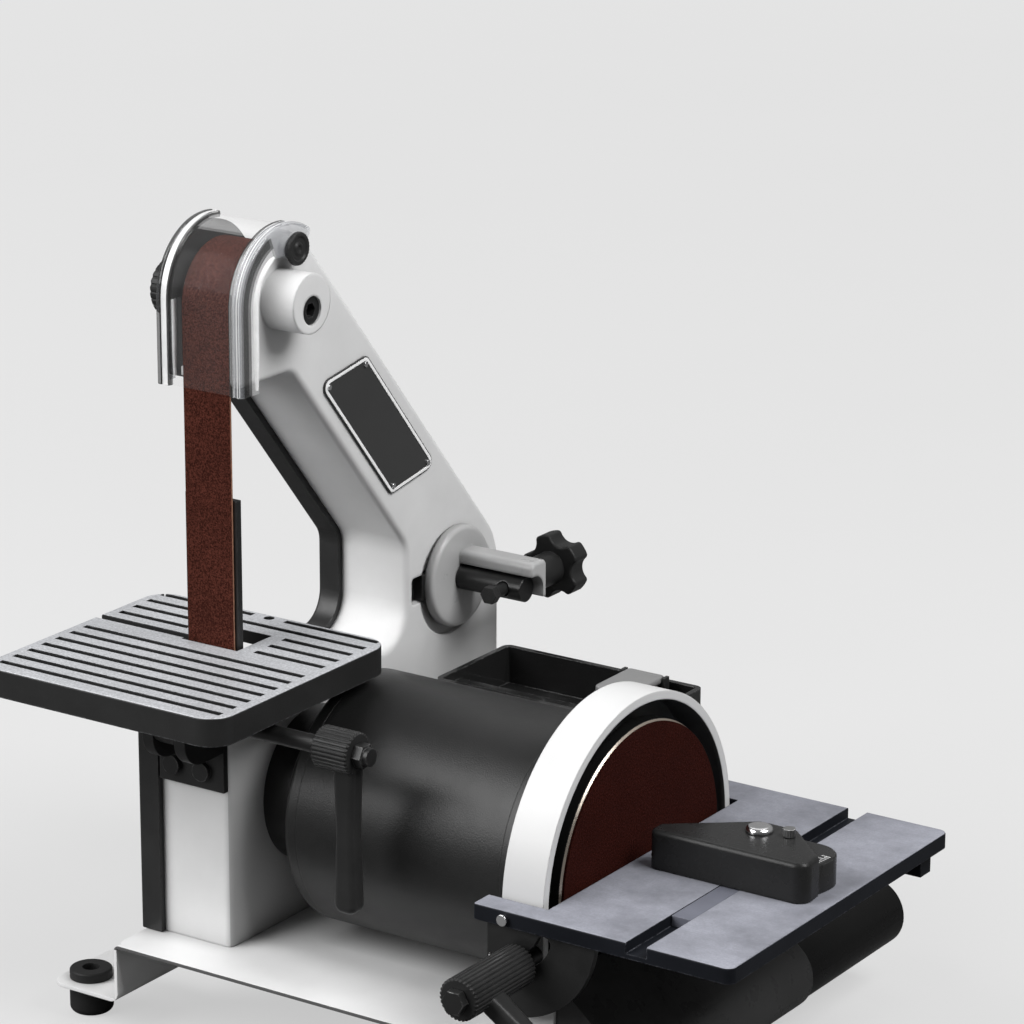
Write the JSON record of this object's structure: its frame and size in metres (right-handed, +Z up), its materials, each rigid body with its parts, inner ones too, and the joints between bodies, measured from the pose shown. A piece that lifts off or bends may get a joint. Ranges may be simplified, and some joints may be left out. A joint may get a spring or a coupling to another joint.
{
  "type": "belt and disc sander",
  "caption": "Bench sander with a narrow upright belt on a C-shaped arm, a tilting belt table, and a sanding disc with a tilting mitre table, driven by one motor.",
  "frame": {"origin": "on the bench, midway between the bolt holes of the four feet", "axes": "+X along the motor axis towards the disc, +Y to the back, +Z up"},
  "size_m": [0.362, 0.2972, 0.3684],
  "materials": {
    "white_paint": "smooth white paint",
    "grey_paint": "light grey paint on a casting",
    "black_paint": "black paint",
    "black_plastic": "black moulded",
    "clear_plastic": "clear",
    "aluminium": "machined",
    "steel": "plain",
    "bright_steel": "bright",
    "abrasive": "grit on cloth",
    "rubber": "moulded",
    "iron": "laminations",
    "copper": "enamelled wire",
    "light_plastic": "light grey",
    "dark_paint": "dark grey paint",
    "table_paint": "blue grey, ground top"
  },
  "bodies": {
    "frame": {"base_plate": "white_paint", "rubber_feet": "rubber", "base_bolts": "steel", "arm_casting": "grey_paint", "arm_screws": "steel", "motor_screws": "steel", "motor_shell": "black_paint", "end_bell_left": "black_paint", "end_bell_right": "black_paint", "stator_core": "iron", "stator_windings": "copper", "shaft_bearings": "steel", "disc_guard": "white_paint", "dust_hood": "black_plastic", "disc_table_pivot_screws": "bright_steel", "disc_table_lock_stud": "steel", "platen": "black_paint", "belt_table_bracket": "black_paint", "belt_table_lock_rod": "black_paint", "side_cover": "black_plastic", "idler_axle": "steel", "name_plate": "dark_paint", "name_plate_rivets": "bright_steel", "switch_box": "black_plastic", "switch_body": "black_plastic", "run_capacitor": "aluminium", "cable_gland": "black_plastic", "sanding_belt": "abrasive"},
    "rotor": {"motor_shaft": "steel", "disc_plate": "aluminium", "abrasive_disc": "abrasive", "rotor_core": "iron", "cooling_fan": "black_plastic", "drive_wheel": "aluminium"},
    "idler": {"idler_wheel": "aluminium", "idler_bearings": "steel"},
    "tension": {"tension_bracket": "grey_paint", "tension_key": "black_paint", "axle_pivot_pin": "steel", "tension_spring": "steel"},
    "axle": {"tracking_axle": "black_paint"},
    "tracking": {"tracking_wheel": "aluminium", "tracking_bearings": "steel"},
    "tracking_screw": {"tracking_knob": "black_plastic"},
    "belt_table": {"belt_table": "aluminium"},
    "belt_table_lock": {"belt_table_lock_handle": "black_plastic"},
    "disc_table": {"disc_table": "table_paint", "disc_table_quadrant": "dark_paint", "tilt_pointer": "light_plastic"},
    "disc_table_lock": {"disc_table_lock_handle": "black_plastic"},
    "mitre": {"mitre_bar": "steel", "mitre_pivot_screw": "bright_steel"},
    "protractor": {"mitre_head": "dark_paint"},
    "protractor_lock": {"mitre_lock_screw": "bright_steel"},
    "paddle": {"switch_paddle": "light_plastic"},
    "shield": {"eye_shield": "clear_plastic"},
    "shield_lock": {"shield_knob": "black_plastic"},
    "cover_lock": {"cover_knob": "black_plastic"}
  },
  "joints": [
    {"name": "motor_spin", "type": "hinge", "parent": "frame", "child": "rotor", "pos_m": [0.04, -0.012, 0.104], "axis": [1, 0, 0], "continuous": true},
    {"name": "idler_spin", "type": "hinge", "parent": "frame", "child": "idler", "pos_m": [-0.068, -0.0314, 0.3312], "axis": [1, 0, 0], "continuous": true},
    {"name": "tension_slide", "type": "slide", "parent": "frame", "child": "tension", "axis": [0, 1, 0], "range_m": [-0.006, 0], "stiffness_N_per_m": 700, "springref_m": 0.004, "deforming": ["tension_spring"]},
    {"name": "axle_tilt", "type": "hinge", "parent": "tension", "child": "axle", "pos_m": [-0.04535, 0.1025, 0.1723], "axis": [0, 0, 1], "range_deg": [-1, 1]},
    {"name": "tracking_spin", "type": "hinge", "parent": "axle", "child": "tracking", "pos_m": [-0.069, 0.1025, 0.1723], "axis": [1, 0, 0], "continuous": true},
    {"name": "tracking_turn", "type": "hinge", "parent": "tension", "child": "tracking_screw", "pos_m": [-0.0162, 0.1025, 0.1723], "axis": [0, 1, 0], "range_deg": [-240, 240]},
    {"name": "belt_table_tilt", "type": "hinge", "parent": "frame", "child": "belt_table", "pos_m": [-0.059, -0.092, 0.159], "axis": [1, 0, 0], "range_deg": [0, 25]},
    {"name": "belt_table_lock_turn", "type": "hinge", "parent": "frame", "child": "belt_table_lock", "pos_m": [0.027, -0.092, 0.159], "axis": [1, 0, 0], "range_deg": [-100, 0]},
    {"name": "disc_table_tilt", "type": "hinge", "parent": "frame", "child": "disc_table", "pos_m": [0.117, -0.012, 0.105], "axis": [0, 1, 0], "range_deg": [0, 45]},
    {"name": "disc_table_lock_turn", "type": "hinge", "parent": "frame", "child": "disc_table_lock", "pos_m": [0.12449, -0.122, 0.08646], "axis": [0, 1, 0], "range_deg": [-70, 40]},
    {"name": "mitre_slide", "type": "slide", "parent": "disc_table", "child": "mitre", "axis": [0, 1, 0], "range_m": [-0.045, 0.05]},
    {"name": "mitre_swivel", "type": "hinge", "parent": "mitre", "child": "protractor", "pos_m": [0.1822, -0.002, 0.118], "axis": [0, 0, 1], "range_deg": [-45, 45]},
    {"name": "mitre_lock_turn", "type": "hinge", "parent": "protractor", "child": "protractor_lock", "pos_m": [0.196, -0.0005, 0.124], "axis": [0, 0, 1], "range_deg": [-180, 180]},
    {"name": "paddle_lift", "type": "hinge", "parent": "frame", "child": "paddle", "pos_m": [0.07, 0.0845, 0.1503], "axis": [-1, 0, 0], "range_deg": [0, 25]},
    {"name": "shield_swing", "type": "hinge", "parent": "frame", "child": "shield", "pos_m": [-0.045, -0.0266, 0.3564], "axis": [-1, 0, 0], "range_deg": [0, 30]},
    {"name": "shield_lock_turn", "type": "hinge", "parent": "frame", "child": "shield_lock", "pos_m": [-0.042, -0.0266, 0.3564], "axis": [1, 0, 0], "range_deg": [-180, 180]},
    {"name": "cover_lock_turn", "type": "hinge", "parent": "frame", "child": "cover_lock", "pos_m": [-0.104, -0.0314, 0.3312], "axis": [1, 0, 0], "range_deg": [-180, 180]}
  ],
  "couplings": [
    {"joint": "idler_spin", "follows": "motor_spin", "ratio": 1.7433},
    {"joint": "tracking_spin", "follows": "motor_spin", "ratio": 2.3947},
    {"joint": "axle_tilt", "follows": "tracking_turn", "ratio": 0.0041667}
  ]
}
